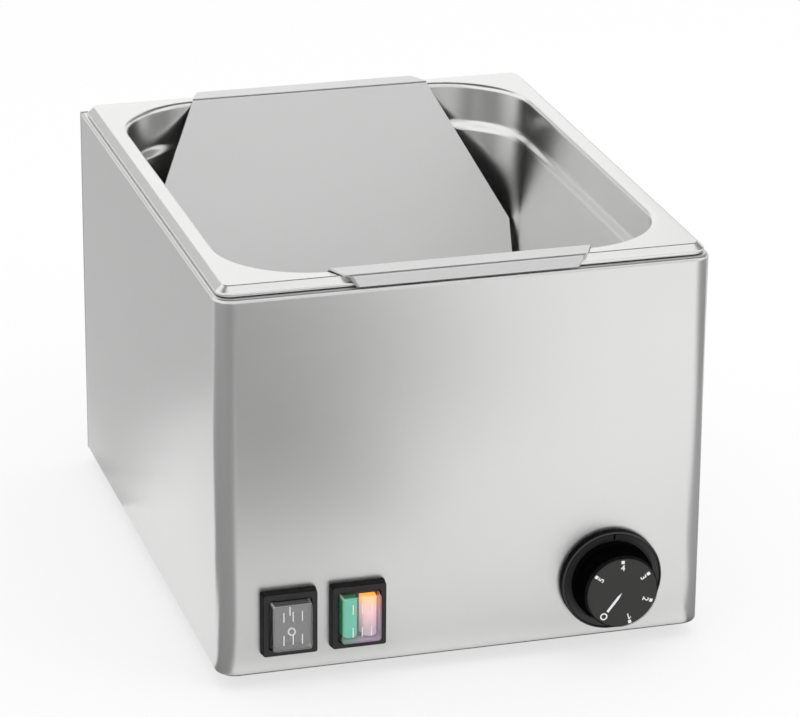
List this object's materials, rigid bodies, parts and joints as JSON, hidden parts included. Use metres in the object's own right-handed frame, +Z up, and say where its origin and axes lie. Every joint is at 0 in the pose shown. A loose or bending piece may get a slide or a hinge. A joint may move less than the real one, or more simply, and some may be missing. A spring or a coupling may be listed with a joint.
{
  "type": "chip warmer",
  "caption": "Counter-top chip warmer: a stainless casing with a lift-out gastronorm pan, a folded perforated insert, a rocker switch, an indicator lamp and a dial.",
  "frame": {"origin": "on the surface that the feet stand on, under the middle of the whole unit", "axes": "+Z up, the control panel faces -Y, +X to the right as seen from the front"},
  "size_m": [0.269, 0.3754, 0.2262],
  "materials": {
    "satin_steel": "satin stainless sheet",
    "pan_steel": "bright drawn stainless",
    "insert_steel": "matt stainless sheet",
    "zinc_steel": "zinc-plated steel",
    "heater_sheath": "oxidised heater tube",
    "brass": "brass",
    "copper": "drawn copper",
    "black_plastic": "black moulded plastic, slight gloss",
    "knob_plastic": "dark grey moulded plastic",
    "housing_plastic": "black polyamide",
    "clear_cover": "clear flexible plastic",
    "green_lens": "translucent green",
    "orange_lens": "translucent orange, lit",
    "rubber": "moulded rubber",
    "steatite": "unglazed ceramic",
    "fibre_mat": "pressed mineral fibre"
  },
  "bodies": {
    "casing": {"casing_wrap": "satin_steel", "rear_panel": "satin_steel", "bottom_plate": "zinc_steel", "heating_well": "satin_steel", "heating_element": "heater_sheath", "insulation_mat": "fibre_mat", "heat_shield": "zinc_steel", "sensor_bulb": "copper", "sensor_clip": "zinc_steel", "sensor_capillary": "copper", "thermal_limiter": "steatite", "terminal_block": "steatite", "earth_stud": "brass", "earth_nut": "brass", "gland_body": "black_plastic", "gland_cap": "black_plastic", "gland_locknut": "black_plastic", "clamp_bar_front": "zinc_steel", "clamp_stud_front": "zinc_steel", "clamp_nut_front": "zinc_steel", "clamp_bar_rear": "zinc_steel", "clamp_stud_rear": "zinc_steel", "clamp_nut_rear": "zinc_steel", "foot_front_left": "rubber", "foot_screw_front_left": "zinc_steel", "foot_front_right": "rubber", "foot_screw_front_right": "zinc_steel", "foot_rear_left": "rubber", "foot_screw_rear_left": "zinc_steel", "foot_rear_right": "rubber", "foot_screw_rear_right": "zinc_steel", "rear_screw_lower_left": "zinc_steel", "rear_screw_lower_right": "zinc_steel", "rear_screw_upper_left": "zinc_steel", "rear_screw_upper_right": "zinc_steel", "rocker_housing": "housing_plastic", "rocker_pin": "zinc_steel", "rocker_cover": "clear_cover", "rocker_frame": "black_plastic", "rocker_terminal_1": "brass", "rocker_terminal_2": "brass", "rocker_terminal_3": "brass", "rocker_terminal_4": "brass", "lamp_housing": "housing_plastic", "lamp_lens_green": "green_lens", "lamp_lens_orange": "orange_lens", "lamp_cover": "clear_cover", "lamp_frame": "black_plastic", "lamp_terminal_1": "brass", "lamp_terminal_2": "brass", "lamp_terminal_3": "brass", "thermostat_body": "zinc_steel", "thermostat_screw_left": "zinc_steel", "thermostat_screw_right": "zinc_steel", "knob_ring": "black_plastic"},
    "knob": {"control_knob": "knob_plastic", "thermostat_spindle": "zinc_steel"},
    "rocker": {"rocker_paddle": "housing_plastic"},
    "pan": {"food_pan": "pan_steel"},
    "insert": {"chip_insert": "insert_steel"}
  },
  "joints": [
    {"name": "knob_turn", "type": "hinge", "parent": "casing", "child": "knob", "pos_m": [0.0811, -0.17, 0.0412], "axis": [0, 1, 0], "range_deg": [-218, 57]},
    {"name": "rocker_rock", "type": "hinge", "parent": "casing", "child": "rocker", "pos_m": [-0.0974, -0.1649, 0.0377], "axis": [1, 0, 0], "range_deg": [0, 20]},
    {"name": "pan_lift", "type": "slide", "parent": "casing", "child": "pan", "axis": [0, 0, 1], "range_m": [0, 0.16]},
    {"name": "insert_lift", "type": "slide", "parent": "pan", "child": "insert", "axis": [0, 0, 1], "range_m": [0, 0.145]}
  ]
}
